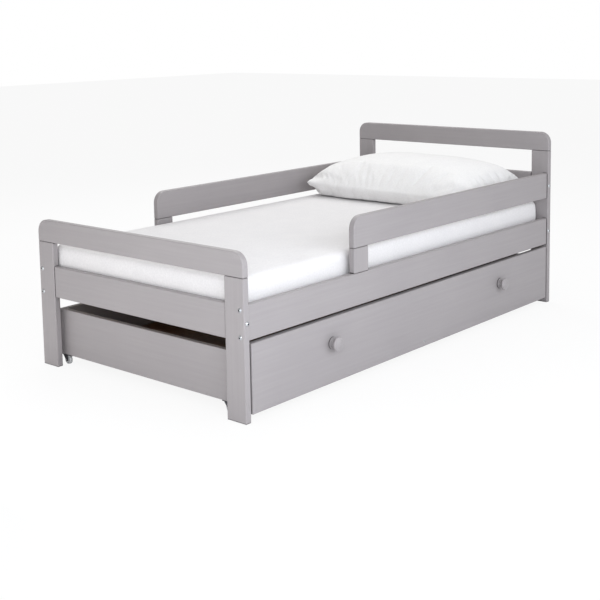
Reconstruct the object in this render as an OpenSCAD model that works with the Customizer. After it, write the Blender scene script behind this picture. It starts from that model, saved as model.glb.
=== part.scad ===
// Toddler bed: slatted frame with guard boards, mattress, pillow and a roll-out drawer.
// +X runs from the foot to the head, -Y is the drawer's side and +Z is up.
// The origin is on the floor, in the middle of the box round the bed with its drawer shut.

/* [Bedding] */
// Length of the mattress
mattress_l = 1400; // [1100:10:2000]
// Width of the mattress
mattress_w = 700; // [500:10:1000]
// Thickness of the mattress
mattress_h = 100; // [60:5:160]
// Radius along the mattress's edges
mattress_r = 18; // [5:1:28]
// Space between the mattress and the board at each end
mattress_end_gap = 5; // [3:1:20]
// Space between the mattress and the rail at each side
mattress_side_gap = 13.5; // [2:0.5:40]
// Width of the pillow, along the bed
pillow_w = 372; // [250:2:450]
// Space between each end of the pillow and the mattress's side
pillow_side_gap = 25; // [5:5:150]
// Thickness of the pillow at its middle
pillow_h = 135; // [60:5:160]
// Radius of the pillow's corners
pillow_corner_r = 14; // [8:1:25]
// Space between the pillow and the head of the mattress
pillow_head_gap = 8; // [0:1:60]

/* [Bed frame] */
// Thickness of the posts, boards and rails
board_t = 18; // [15:1:28]
// Rounding along the edges of the posts, boards and rails
ease = 3; // [1:0.5:4]
// Width of a post, across the bed
post_w = 62; // [50:1:90]
// Height of the gap between the foot's lower rail and its top board
foot_gap = 65; // [40:1:160]
// Height of the gap between the head's middle rail and its top board
head_gap = 72; // [40:1:240]
// Height of the top boards
top_board_h = 60; // [45:1:90]
// Radius of the top boards' and guard boards' upper corners
corner_r = 34; // [15:1:40]
// Height of the floor gap under the side rails and lower rails
rail_z = 195; // [190:1:260]
// Height of the side rails and lower rails
rail_h = 85; // [75:1:120]
// How far a side rail sits back from the posts' outer sides
rail_inset = 4; // [0:0.5:8]
// How far a lower rail sits back from the posts' outer faces
end_rail_inset = 2.5; // [0:0.5:3]

/* [Guard boards] */
// Length of a guard board
guard_l = 1014; // [500:2:1250]
// Height of a guard board
guard_h = 82; // [60:1:110]
// Height of the gap between a guard board and its rail
guard_gap = 66; // [45:1:80]
// Width of the short post under a guard board
guard_post_w = 60; // [50:1:90]

/* [Slats] */
// Number of slats
slats = 12; // [6:1:12]
// Width of a slat
slat_w = 60; // [40:1:80]
// Thickness of a slat
slat_t = 12; // [10:1:20]
// Space between the ends of a slat and the side rails
slat_end_gap = 1.5; // [0.5:0.5:6]
// Width and height of a slat bearer
bearer_w = 25; // [20:1:30]
// Depth of the slats' top faces below the side rails' top edges
slat_drop = 40; // [30:1:44]

/* [Drawer] */
// Height of the drawer front
drawer_front_h = 170; // [150:1:172]
// Space between the floor and the drawer front
drawer_front_z = 17.5; // [12:0.5:20]
// Space between the drawer front and the post at each end
drawer_end_gap = 6; // [3:0.5:12]
// How far the drawer front sits back from the posts' outer sides
drawer_inset = 1; // [0:0.5:6]
// Space between the drawer's back and the posts' outer sides
drawer_back_gap = 35; // [20:1:200]
// Height of the drawer's sides and back
drawer_side_h = 127; // [110:1:150]
// Height of the base above the lower edges of the drawer's sides
base_rise = 14; // [8:1:24]
// Thickness of the drawer's sides and back
drawer_t = 15; // [12:1:18]
// How far the drawer's sides stand in from the ends of its front
drawer_side_inset = 9; // [4:1:30]
// Thickness of the drawer's base
base_t = 3; // [3:0.5:5]
// Depth of the grooves that hold the base
groove_d = 6; // [4:0.5:8]
// Width of the rail under the middle of the base
centre_rail_w = 60; // [40:1:100]
// Height of the rail under the middle of the base
centre_rail_h = 18; // [12:1:24]

/* [Knobs] */
// Distance from the middle of the drawer to each knob
knob_x = 405; // [100:5:500]
// Height of the knobs above the floor
knob_z = 122; // [80:1:150]
// Diameter of a knob
knob_d = 38; // [28:1:50]
// Thickness of a knob's disc
knob_disc_t = 8; // [6:1:10]
// Diameter of a knob's base
knob_base_d = 30; // [24:1:40]
// Thickness of a knob's base
knob_base_t = 4; // [3:0.5:6]
// Diameter of a knob's neck
knob_neck_d = 16; // [12:1:20]
// Reach of a knob from the drawer front
knob_reach = 27; // [22:1:40]

/* [Castors] */
// Diameter of a castor wheel
wheel_d = 25; // [18:1:32]
// Width of a castor wheel
wheel_w = 8; // [5:0.5:9]
// Diameter of a castor's axle pin
axle_d = 3; // [2:0.5:4]
// Space between a front castor and the drawer front
castor_front_gap = 70; // [30:1:120]
// Space between a back castor's axle and the drawer's back face
castor_back_gap = 23; // [23:1:120]
// Thickness of a castor's plate
castor_plate_t = 2; // [1.5:0.5:3]
// Space between a castor's plate and its wheel
castor_plate_gap = 1; // [0.5:0.5:3]
// Length of a castor's plate
castor_plate_l = 44; // [40:1:46]
// Width of a castor's plate
castor_plate_w = 14; // [13:0.5:15]

/* [Fasteners] */
// Diameter of the connector bolts
bolt_d = 6; // [5:0.5:7]
// Diameter of a connector bolt's head
bolt_head_d = 11.5; // [9:0.5:14]
// Height of a connector bolt's domed head
bolt_head_h = 3; // [2:0.5:4]
// Distance from a side rail's long edge to the nearer bolt in its end
bolt_edge = 10.5; // [8:0.5:20]
// Height of a guard board's bolt above the board's middle
guard_bolt_rise = 17; // [14:1:20]
// Diameter of the barrel nuts
nut_d = 10; // [8:0.5:12]
// Distance from a rail's end to its barrel nuts
nut_setback = 28; // [20:1:40]
// Diameter of the wooden dowels
dowel_d = 8; // [6:0.5:8]
// Length of the wooden dowels
dowel_l = 30; // [20:1:40]
// Diameter of the wood screws
screw_d = 4; // [3:0.25:5]
// Diameter of a wood screw's head
screw_head_d = 8; // [6:0.5:9]

/* [Hidden] */
// Fits and clearances
bolt_clear = 0.5;
dowel_clear = 0.1;
screw_clear = 0.2;
wheel_clear = 0.06;
wheel_side_gap = 0.5;
soft_gap = 0.3;
base_clear = 0.2;

// Frame, worked out from the mattress it holds
inner_l = mattress_l + 2 * mattress_end_gap;
bed_l = inner_l + 2 * board_t;
inner_w = mattress_w + 2 * mattress_side_gap;
rail_in_y = inner_w / 2;
rail_out_y = rail_in_y + board_t;
rail_mid_y = rail_in_y + board_t / 2;
half_w = rail_out_y + rail_inset;
post_in_y = half_w - post_w;
post_mid_y = half_w - post_w / 2;
half_l = bed_l / 2;
end_in_x = inner_l / 2;
end_rail_out_x = half_l - end_rail_inset;
end_rail_in_x = end_rail_out_x - board_t;
end_rail_mid_x = end_rail_out_x - board_t / 2;
rail_top = rail_z + rail_h;
rail_mid_z = rail_z + rail_h / 2;
slat_top = rail_top - slat_drop;
slat_bottom = slat_top - slat_t;
guard_z = rail_top + guard_gap;
guard_mid_z = guard_z + guard_h / 2;
guard_top = guard_z + guard_h;
guard_foot_x = end_in_x - guard_l;
mid_rail_z = guard_top - rail_h;
mid_rail_mid_z = mid_rail_z + rail_h / 2;
foot_board_z = rail_top + foot_gap;
head_board_z = guard_top + head_gap;

// Drawer, worked out from the frame it rolls under
drawer_out_y = half_w - drawer_inset;
drawer_in_y = drawer_out_y - board_t;
drawer_back_y = half_w - drawer_back_gap;
drawer_half_l = end_in_x - drawer_end_gap;
box_half_l = drawer_half_l - drawer_side_inset;
side_in_x = box_half_l - drawer_t;
side_mid_x = box_half_l - drawer_t / 2;
back_in_y = drawer_back_y - drawer_t;
drawer_side_z = wheel_d + castor_plate_gap + castor_plate_t;
drawer_side_top = drawer_side_z + drawer_side_h;
base_z = drawer_side_z + base_rise;
centre_rail_z = base_z - centre_rail_h;
centre_screw_z = base_z - centre_rail_h / 2;
castor_front_y = castor_front_gap - drawer_in_y;
castor_back_y = drawer_back_y - castor_back_gap;
plate_z = drawer_side_z - castor_plate_t;
cheek_in_x = wheel_w / 2 + wheel_side_gap;
cheek_t = castor_plate_w / 2 - cheek_in_x;

// The box round the bed reaches from the knobs to the bolt heads on the other side
bed_y = (knob_reach - drawer_inset - bolt_head_h) / 2;

pillow_l = mattress_w - 2 * pillow_side_gap;
pillow_side_slope = 0.75;
pillow_end_slope = 0.85;
side_bolt_z = [rail_z + bolt_edge, rail_top - bolt_edge];
guard_bolt_z = guard_mid_z + guard_bolt_rise;
bolt_overrun = 4;
bolt_in = nut_setback + nut_d / 2 + bolt_overrun;
socket_w = bolt_d * 0.8;
socket_depth = 1;
nut_l = 12;
dowel_pitch = 32;
rail_dowel_rise = 24;
screw_head_h = (screw_head_d - screw_d) / 2;
slat_screw_l = 28;
slat_screw_in = slat_end_gap + bearer_w / 2;
bearer_screw_grip = 12;
bearer_screw_l = bearer_w + bearer_screw_grip;
bearer_ease = 1;
slat_ease = 2;
drawer_ease = 1.5;
drawer_screw_l = 40;
drawer_dowel_edge = 30;
back_screw_edge = 32;
slot_w = 0.9;
slot_depth = 1.2;
cam_d = 15;
cam_t = 12;
cam_setback = 34;
cam_bolt_d = 6;
cam_bolt_in = 12;
cam_slot_w = 1.5;
knob_dome_h = 3.5;
knob_screw_in = 15;
knob_screw_head_h = 2.5;
castor_screw_l = 11;
castor_screw_edge = 4.5;
castor_ear_t = 2.5;
castor_cheek_reach = 16;
tread_r = 1.8;
rim_t = 4;
hub_t = 2;
castor_screw_d = 3;
castor_screw_head_d = 6;
castor_screw_head_h = 1;
axle_head_h = 1;

paint = "#aeaaaa";
raw_pine = "#d9bd8f";
hardboard = "#6b4a33";
zinc = "#c3c6c9";
castor_grey = "#5a5a5e";
wheel_grey = "#c9cbcc";
linen = "#f4f4f6";

$fn = 48;

// ---- Shared shapes ----

// Moves the bed so that the origin is in the middle of its box.
module in_bed() {
  translate([0, bed_y, 0]) children();
}

// Rectangle with round corners, centred on the origin.
module rounded_rect(a, b, r) {
  square([a - 2 * r, b], center = true);
  square([a, b - 2 * r], center = true);
  for (sa = [-1, 1], sb = [-1, 1])
    translate([sa * (a / 2 - r), sb * (b / 2 - r)]) circle(r);
}

// Block between two corners, with all its edges rounded.
module eased_box(low, high, r = ease) {
  size = high - low;
  translate((low + high) / 2)
    intersection() {
      linear_extrude(size.z, center = true) rounded_rect(size.x, size.y, r);
      rotate([90, 0, 0]) linear_extrude(size.y, center = true) rounded_rect(size.x, size.z, r);
      rotate([90, 0, 90]) linear_extrude(size.x, center = true) rounded_rect(size.y, size.z, r);
    }
}

// Quarter disc with a rounded rim, reaching along -X and +Z from the origin.
module round_corner(r, t) {
  mirror([1, 0, 0]) rotate([90, 0, 0])
    rotate_extrude(angle = 90) {
      translate([0, -t / 2]) square([r - ease, t]);
      translate([0, ease - t / 2]) square([r, t - 2 * ease]);
      for (s = [-1, 1]) translate([r - ease, s * (t / 2 - ease)]) circle(ease);
    }
}

// Straight stretch of a board along X with its four long edges rounded.
module board_run(x0, x1, h, t) {
  translate([x0, 0, h / 2]) rotate([90, 0, 90])
    linear_extrude(x1 - x0) rounded_rect(t, h, ease);
}

// Lower part of a board's end, below its round corner.
module board_foot(r, h, t) {
  rise = h - r;
  intersection() {
    translate([0, -t / 2, 0]) cube([r, t, rise]);
    board_run(0, r, h, t);
    translate([r, 0, 0]) linear_extrude(rise) rounded_rect(2 * r, t, ease);
    translate([r, t / 2, rise]) rotate([90, 0, 0]) linear_extrude(t) rounded_rect(2 * r, 2 * rise, ease);
  }
}

// Board along X from the origin, with a round upper corner at its low end.
// round_far rounds the far end as well; a plain far end has eased edges.
module round_board(l, h, t, r, round_far) {
  stop = round_far ? l - r : l - 2 * ease;
  board_run(r, stop, h, t);
  board_foot(r, h, t);
  translate([r, 0, h - r]) round_corner(r, t);
  if (round_far)
    translate([l, 0, 0]) mirror([1, 0, 0]) {
      board_foot(r, h, t);
      translate([r, 0, h - r]) round_corner(r, t);
    }
  else
    intersection() {
      board_run(stop, l, h, t);
      translate([l - h, 0, 0]) linear_extrude(h) rounded_rect(2 * h, t, ease);
      translate([l - h, t / 2, h / 2]) rotate([90, 0, 0]) linear_extrude(t) rounded_rect(2 * h, h, ease);
    }
}

// Countersunk wood screw: the head's face at the origin, the tip along -Z.
module wood_screw(l) {
  difference() {
    union() {
      translate([0, 0, -l]) cylinder(h = l, d = screw_d);
      translate([0, 0, -screw_head_h]) cylinder(h = screw_head_h, d1 = screw_d, d2 = screw_head_d);
    }
    for (a = [0, 90]) rotate([0, 0, a]) cube([screw_head_d * 0.55, slot_w, 2 * slot_depth], center = true);
  }
}

// Hole for a wood screw: clear through the first piece, tight in the second.
module screw_hole(l, clear_l) {
  translate([0, 0, -l]) cylinder(h = l, d = screw_d);
  translate([0, 0, -clear_l]) cylinder(h = clear_l + 1, d = screw_d + 2 * screw_clear);
  translate([0, 0, -screw_head_h - screw_clear])
    cylinder(h = screw_head_h + screw_clear, d1 = screw_d, d2 = screw_head_d + 2 * screw_clear);
}

module dowel() {
  cylinder(h = dowel_l, d = dowel_d, center = true);
}

module dowel_hole() {
  cylinder(h = dowel_l, d = dowel_d + 2 * dowel_clear, center = true);
}

// ---- Places of the frame's fasteners ----

// Bolts through the posts into the ends of the side rails and guard boards.
module at_side_bolts(ends = [-1, 1], sides = [-1, 1]) {
  for (sx = ends, sy = sides, z = concat(side_bolt_z, sx > 0 ? [guard_bolt_z] : []))
    translate([sx * half_l, sy * rail_mid_y, z]) rotate([0, sx * 90, 0]) children();
}

// Bolts through the posts into the ends of the rails between them.
module at_end_bolts(ends = [-1, 1], sides = [-1, 1]) {
  for (sx = ends, sy = sides, z = concat([rail_mid_z], sx > 0 ? [mid_rail_mid_z] : []))
    translate([sx * end_rail_mid_x, sy * half_w, z]) rotate([-sy * 90, 0, 0]) children();
}

// Barrel nuts for the side bolts, with their open side towards the bed's middle.
module at_side_nuts(ends = [-1, 1], sides = [-1, 1]) {
  for (sx = ends, sy = sides, z = concat(side_bolt_z, sx > 0 ? [guard_bolt_z] : []))
    translate([sx * (end_in_x - nut_setback), sy * rail_mid_y, z])
      rotate([0, 0, sy > 0 ? 180 : 0]) rotate([-90, 0, 0]) children();
}

// Barrel nuts for the end bolts, with their open side towards the bed's middle.
module at_end_nuts(ends = [-1, 1], sides = [-1, 1]) {
  for (sx = ends, sy = sides, z = concat([rail_mid_z], sx > 0 ? [mid_rail_mid_z] : []))
    translate([sx * end_rail_mid_x, sy * (post_in_y - nut_setback), z])
      rotate([0, 0, sx > 0 ? 90 : -90]) rotate([-90, 0, 0]) children();
}

// Dowels between a post and the top board on it.
module at_post_dowels(end, sides = [-1, 1]) {
  z = end < 0 ? foot_board_z : head_board_z;
  for (sy = sides, s = [-1, 1])
    translate([end * (half_l - board_t / 2), sy * post_mid_y + s * dowel_pitch / 2, z]) children();
}

// Dowels between a rail's end and its post, above and below the bolt.
module at_rail_dowels(end, sides = [-1, 1]) {
  for (sy = sides, z = concat([rail_mid_z], end > 0 ? [mid_rail_mid_z] : []), s = [-1, 1])
    translate([end * end_rail_mid_x, sy * post_in_y, z + s * rail_dowel_rise])
      rotate([90, 0, 0]) children();
}

// Dowels at the top and bottom of a guard post.
module at_guard_dowels(side) {
  for (z = [rail_top, guard_z], s = [-1, 1])
    translate([guard_foot_x + guard_post_w / 2 + s * dowel_pitch / 2, side * rail_mid_y, z]) children();
}

// Wood screws through the slats into the bearers.
function slat_x(i) = let (span = 2 * end_rail_in_x - 2 * soft_gap - slat_w, pitch = span / (slats - 1))
  -span / 2 + (i - 1) * pitch;

module at_slat_screws(i, sides = [-1, 1]) {
  for (sy = sides) translate([slat_x(i), sy * (rail_in_y - slat_screw_in), slat_top]) children();
}

// Wood screws through a bearer into its side rail.
module at_bearer_screws(side) {
  for (s = [-2:2])
    translate([s * inner_l / 5, side * (rail_in_y - bearer_w), slat_bottom - bearer_w / 2])
      rotate([side * 90, 0, 0]) children();
}

// ---- Ends ----

module end_post(end, side) {
  top = end < 0 ? foot_board_z : head_board_z;
  color(paint) in_bed()
    difference() {
      eased_box(
        [end < 0 ? -half_l : end_in_x, side < 0 ? -half_w : post_in_y, 0],
        [end < 0 ? -end_in_x : half_l, side < 0 ? -post_in_y : half_w, top]
      );
      at_side_bolts([end], [side]) bolt_hole(board_t + 1);
      at_end_bolts([end], [side]) bolt_hole(post_w + 1);
      at_post_dowels(end, [side]) dowel_hole();
      at_rail_dowels(end, [side]) dowel_hole();
    }
}

module top_board(end) {
  z = end < 0 ? foot_board_z : head_board_z;
  color(paint) in_bed()
    difference() {
      translate([end * (half_l - board_t / 2), -half_w, z])
        rotate([0, 0, 90]) round_board(2 * half_w, top_board_h, board_t, corner_r, true);
      at_post_dowels(end) dowel_hole();
    }
}

module end_rail(end, z) {
  color(paint) in_bed()
    difference() {
      eased_box(
        [end < 0 ? -end_rail_out_x : end_rail_in_x, -post_in_y, z],
        [end < 0 ? -end_rail_in_x : end_rail_out_x, post_in_y, z + rail_h]
      );
      at_end_bolts([end]) bolt_hole(post_w + bolt_in + 1);
      at_end_nuts([end]) nut_hole();
      at_rail_dowels(end) dowel_hole();
    }
}

module foot_post_front() { end_post(-1, -1); }
module foot_post_back() { end_post(-1, 1); }
module head_post_front() { end_post(1, -1); }
module head_post_back() { end_post(1, 1); }
module foot_top_board() { top_board(-1); }
module head_top_board() { top_board(1); }
module foot_lower_rail() { end_rail(-1, rail_z); }
module head_lower_rail() { end_rail(1, rail_z); }
module head_mid_rail() { end_rail(1, mid_rail_z); }

// ---- Sides ----

module side_rail(side) {
  color(paint) in_bed()
    difference() {
      eased_box(
        [-end_in_x, side < 0 ? -rail_out_y : rail_in_y, rail_z],
        [end_in_x, side < 0 ? -rail_in_y : rail_out_y, rail_top]
      );
      at_side_bolts([-1, 1], [side]) bolt_hole(board_t + bolt_in + 1);
      at_side_nuts([-1, 1], [side]) nut_hole();
      at_guard_dowels(side) dowel_hole();
      at_bearer_screws(side) screw_hole(bearer_screw_l, bearer_w);
    }
}

module guard_board(side) {
  color(paint) in_bed()
    difference() {
      translate([guard_foot_x, side * rail_mid_y, guard_z])
        round_board(guard_l, guard_h, board_t, corner_r, false);
      at_side_bolts([1], [side]) bolt_hole(board_t + bolt_in + 1);
      at_side_nuts([1], [side]) nut_hole();
      at_guard_dowels(side) dowel_hole();
    }
}

module guard_post(side) {
  color(paint) in_bed()
    difference() {
      eased_box(
        [guard_foot_x, side < 0 ? -rail_out_y : rail_in_y, rail_top],
        [guard_foot_x + guard_post_w, side < 0 ? -rail_in_y : rail_out_y, guard_z]
      );
      at_guard_dowels(side) dowel_hole();
    }
}

module side_rail_front() { side_rail(-1); }
module side_rail_back() { side_rail(1); }
module guard_board_front() { guard_board(-1); }
module guard_board_back() { guard_board(1); }
module guard_post_front() { guard_post(-1); }
module guard_post_back() { guard_post(1); }

// ---- Slats ----

module slat_bearer(side) {
  color(raw_pine) in_bed()
    difference() {
      eased_box(
        [-end_in_x, side < 0 ? -rail_in_y : rail_in_y - bearer_w, slat_bottom - bearer_w],
        [end_in_x, side < 0 ? bearer_w - rail_in_y : rail_in_y, slat_bottom], bearer_ease
      );
      for (i = [1:slats]) at_slat_screws(i, [side]) screw_hole(slat_screw_l, slat_t);
      at_bearer_screws(side) screw_hole(bearer_screw_l, bearer_w);
    }
}

module slat(i) {
  color(raw_pine) in_bed()
    difference() {
      eased_box(
        [slat_x(i) - slat_w / 2, slat_end_gap - rail_in_y, slat_bottom],
        [slat_x(i) + slat_w / 2, rail_in_y - slat_end_gap, slat_top], slat_ease
      );
      at_slat_screws(i) screw_hole(slat_screw_l, slat_t);
    }
}

module slat_bearer_front() { slat_bearer(-1); }
module slat_bearer_back() { slat_bearer(1); }

// ---- Frame fasteners ----

// Bolt hole along -Z from a face at the origin.
module bolt_hole(l) {
  translate([0, 0, -l]) cylinder(h = l + 1, d = bolt_d + 2 * bolt_clear);
}

// Seat for a barrel nut, open along +Z.
module nut_hole() {
  translate([0, 0, -nut_l / 2]) cylinder(h = nut_l / 2 + board_t, d = nut_d + 2 * dowel_clear);
}

// Bolt with a domed head and a hexagon socket, its head's seat at the origin.
module connector_bolt(l) {
  dome_r = (pow(bolt_head_d / 2, 2) + pow(bolt_head_h, 2)) / (2 * bolt_head_h);
  difference() {
    union() {
      translate([0, 0, -l]) cylinder(h = l, d = bolt_d);
      intersection() {
        cylinder(h = bolt_head_h, d = bolt_head_d);
        translate([0, 0, bolt_head_h - dome_r]) sphere(dome_r);
      }
    }
    translate([0, 0, -socket_depth]) cylinder(h = socket_depth + bolt_head_h + 1, d = socket_w, $fn = 6);
  }
}

module connector_bolts() {
  color(zinc) in_bed() {
    at_side_bolts() connector_bolt(board_t + bolt_in);
    at_end_bolts() connector_bolt(post_w + bolt_in);
  }
}

module barrel_nut() {
  difference() {
    cylinder(h = nut_l, d = nut_d, center = true);
    rotate([0, 90, 0]) cylinder(h = nut_d + 2, d = bolt_d, center = true);
  }
}

module barrel_nuts() {
  color(zinc) in_bed() {
    at_side_nuts() barrel_nut();
    at_end_nuts() barrel_nut();
  }
}

module frame_dowels() {
  color(raw_pine) in_bed() {
    for (end = [-1, 1]) {
      at_post_dowels(end) dowel();
      at_rail_dowels(end) dowel();
    }
    for (side = [-1, 1]) at_guard_dowels(side) dowel();
  }
}

module slat_screws() {
  color(zinc) in_bed() for (i = [1:slats]) at_slat_screws(i) wood_screw(slat_screw_l);
}

module bearer_screws() {
  color(zinc) in_bed() for (side = [-1, 1]) at_bearer_screws(side) wood_screw(bearer_screw_l);
}

// ---- Bedding ----

module mattress() {
  color(linen) in_bed()
    eased_box(
      [-mattress_l / 2, -mattress_w / 2, slat_top + soft_gap],
      [mattress_l / 2, mattress_w / 2, slat_top + mattress_h], mattress_r
    );
}

// Pillow at the head, thick in the middle and thin at its corners.
module pillow() {
  low = slat_top + mattress_h + soft_gap;
  mid_x = mattress_l / 2 - pillow_head_gap - pillow_w / 2;
  corner = [pillow_w / 2 - pillow_corner_r, pillow_l / 2 - pillow_corner_r];
  core = [pillow_w / 2 - pillow_h * pillow_side_slope, pillow_l / 2 - pillow_h * pillow_end_slope];
  color(linen) in_bed() translate([mid_x, 0, low + pillow_h / 2])
    hull()
      for (sx = [-1, 1], sy = [-1, 1]) {
        translate([sx * corner.x, sy * corner.y, 0]) sphere(pillow_corner_r, $fn = 16);
        translate([sx * core.x, sy * core.y, 0]) sphere(pillow_h / 2, $fn = 32);
      }
}

// ---- Drawer ----

// Places of the dowels between the drawer front and the ends of its sides.
module at_drawer_dowels(ends = [-1, 1]) {
  for (sx = ends, z = [drawer_side_z + drawer_dowel_edge, drawer_side_top - drawer_dowel_edge])
    translate([sx * side_mid_x, -drawer_in_y, z]) rotate([90, 0, 0]) children();
}

// Cam locks in the inner faces of the sides, open along +Z.
module at_cams(ends = [-1, 1]) {
  for (sx = ends)
    translate([sx * side_in_x, cam_setback - drawer_in_y, drawer_side_z + drawer_side_h / 2])
      rotate([0, -sx * 90, 0]) children();
}

// Wood screws through the drawer's back into its sides.
module at_back_screws(ends = [-1, 1]) {
  for (sx = ends, z = [drawer_side_z + back_screw_edge, drawer_side_top - back_screw_edge])
    translate([sx * side_mid_x, drawer_back_y, z]) rotate([-90, 0, 0]) children();
}

// Wood screws into both ends of the centre rail.
module at_rail_screws(ends = [-1, 1]) {
  for (sy = ends)
    translate([0, sy < 0 ? -drawer_out_y : drawer_back_y, centre_screw_z])
      rotate([-sy * 90, 0, 0]) children();
}

module at_knobs(ends = [-1, 1]) {
  for (sx = ends) translate([sx * knob_x, -drawer_out_y, knob_z]) rotate([90, 0, 0]) children();
}

// Groove that holds the edge of the base, cut into all four sides.
module base_groove() {
  grip = groove_d + base_clear;
  translate([-side_in_x - grip, -drawer_in_y - grip, base_z])
    cube([2 * (side_in_x + grip), drawer_in_y + back_in_y + 2 * grip, base_t + base_clear]);
}

module cam_bolt_hole() {
  translate([0, 0, -cam_bolt_in]) cylinder(h = cam_bolt_in + cam_setback, d = cam_bolt_d + 2 * screw_clear);
}

// Cam bolts' axes, pointing back from the drawer front into the sides.
module at_cam_bolts(ends = [-1, 1]) {
  for (sx = ends)
    translate([sx * side_mid_x, -drawer_in_y, drawer_side_z + drawer_side_h / 2])
      rotate([-90, 0, 0]) children();
}

module drawer_front() {
  color(paint) in_bed()
    difference() {
      eased_box(
        [-drawer_half_l, -drawer_out_y, drawer_front_z],
        [drawer_half_l, -drawer_in_y, drawer_front_z + drawer_front_h]
      );
      base_groove();
      at_knobs() translate([0, 0, -board_t - 1]) cylinder(h = board_t + 2, d = screw_d + 2 * screw_clear);
      at_drawer_dowels() dowel_hole();
      at_cam_bolts() cam_bolt_hole();
      at_rail_screws([-1]) screw_hole(drawer_screw_l, board_t);
    }
}

module drawer_back() {
  color(paint) in_bed()
    difference() {
      eased_box(
        [-box_half_l, back_in_y, drawer_side_z],
        [box_half_l, drawer_back_y, drawer_side_top], drawer_ease
      );
      base_groove();
      at_back_screws() screw_hole(drawer_screw_l, drawer_t);
      at_rail_screws([1]) screw_hole(drawer_screw_l, drawer_t);
      at_castors() castor_screw_places() castor_screw_hole();
    }
}

module drawer_side(end) {
  color(paint) in_bed()
    difference() {
      eased_box(
        [end < 0 ? -box_half_l : side_in_x, -drawer_in_y, drawer_side_z],
        [end < 0 ? -side_in_x : box_half_l, back_in_y, drawer_side_top], drawer_ease
      );
      base_groove();
      at_drawer_dowels([end]) dowel_hole();
      at_back_screws([end]) screw_hole(drawer_screw_l, drawer_t);
      at_cam_bolts([end]) cam_bolt_hole();
      at_cams([end]) translate([0, 0, -cam_t]) cylinder(h = cam_t + 1, d = cam_d + 2 * screw_clear);
      at_castors([end]) castor_screw_places() castor_screw_hole();
    }
}

module drawer_base(end) {
  x0 = end < 0 ? -side_in_x - groove_d : base_clear / 2;
  x1 = end < 0 ? -base_clear / 2 : side_in_x + groove_d;
  color(hardboard) in_bed()
    translate([x0, -drawer_in_y - groove_d, base_z])
      cube([x1 - x0, drawer_in_y + back_in_y + 2 * groove_d, base_t]);
}

module drawer_centre_rail() {
  color(paint) in_bed()
    difference() {
      eased_box(
        [-centre_rail_w / 2, -drawer_in_y, centre_rail_z],
        [centre_rail_w / 2, back_in_y, base_z], drawer_ease
      );
      at_rail_screws([-1]) screw_hole(drawer_screw_l, board_t);
      at_rail_screws([1]) screw_hole(drawer_screw_l, drawer_t);
    }
}

module drawer_side_foot() { drawer_side(-1); }
module drawer_side_head() { drawer_side(1); }
module drawer_base_foot() { drawer_base(-1); }
module drawer_base_head() { drawer_base(1); }

// ---- Knobs ----

// Turned knob: a round-edged base, a neck, a round-edged disc and a shallow dome on it.
module knob(end) {
  base_r = knob_base_t / 2;
  disc_z = knob_reach - knob_dome_h - knob_disc_t;
  rim_r = knob_disc_t / 2;
  dome_w = knob_d / 2 - rim_r - 1;
  dome_r = (dome_w * dome_w + knob_dome_h * knob_dome_h) / (2 * knob_dome_h);
  waist_r = (disc_z - knob_base_t) / 2;
  color(paint) in_bed() at_knobs([end])
    difference() {
      rotate_extrude($fn = 96) {
        square([knob_base_d / 2 - base_r, knob_base_t]);
        translate([knob_base_d / 2 - base_r, base_r]) circle(base_r);
        difference() {
          square([knob_neck_d / 2 + waist_r, disc_z + rim_r]);
          translate([knob_neck_d / 2 + waist_r, knob_base_t + waist_r]) circle(waist_r);
          translate([knob_neck_d / 2 + waist_r - 1, -1]) square([2, disc_z + knob_disc_t]);
        }
        translate([0, disc_z]) square([knob_d / 2 - rim_r, knob_disc_t]);
        translate([knob_d / 2 - rim_r, disc_z + rim_r]) circle(rim_r);
        intersection() {
          translate([0, knob_reach - knob_dome_h]) square([dome_w, knob_dome_h]);
          translate([0, knob_reach - dome_r]) circle(dome_r, $fn = 96);
        }
      }
      translate([0, 0, -1]) cylinder(h = knob_screw_in + 1, d = screw_d);
    }
}

module knob_foot() { knob(-1); }
module knob_head() { knob(1); }

// Machine screws from inside the drawer into the knobs.
module knob_screws() {
  color(zinc) in_bed() at_knobs() translate([0, 0, -board_t]) {
    cylinder(h = board_t + knob_screw_in, d = screw_d);
    translate([0, 0, -knob_screw_head_h]) cylinder(h = knob_screw_head_h, d = screw_head_d);
  }
}

// ---- Drawer fasteners ----

module drawer_fixings() {
  color(zinc) in_bed() {
    at_drawer_dowels() dowel();
    at_cams() translate([0, 0, -cam_t]) difference() {
      cylinder(h = cam_t, d = cam_d);
      translate([0, 0, cam_t - drawer_t / 2]) rotate([90, 0, 0])
        cylinder(h = cam_d, d = cam_bolt_d + 2 * screw_clear, center = true);
      translate([0, 0, cam_t]) cube([cam_d * 0.6, cam_slot_w, 2 * cam_slot_w], center = true);
    }
    at_cam_bolts() translate([0, 0, -cam_bolt_in]) cylinder(h = cam_bolt_in + cam_setback, d = cam_bolt_d);
  }
}

module drawer_screws() {
  color(zinc) in_bed() {
    at_back_screws() wood_screw(drawer_screw_l);
    at_rail_screws() wood_screw(drawer_screw_l);
  }
}

// ---- Castors ----

// Places of the castors' axles, with each plate against a drawer side's lower edge.
module at_castors(ends = [-1, 1], rows = [-1, 1]) {
  for (sx = ends, sy = rows)
    translate([sx * side_mid_x, sy < 0 ? castor_front_y : castor_back_y, wheel_d / 2]) children();
}

// Places of the two screws in a castor's plate, at the plate's upper face.
module castor_screw_places() {
  for (s = [-1, 1])
    translate([0, s * (castor_plate_l / 2 - castor_screw_edge), drawer_side_z - wheel_d / 2]) children();
}

// Hole for a castor screw, up into a drawer side or the drawer's back.
module castor_screw_hole() {
  translate([0, 0, -castor_plate_t]) cylinder(h = castor_screw_l, d = castor_screw_d);
}

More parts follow.
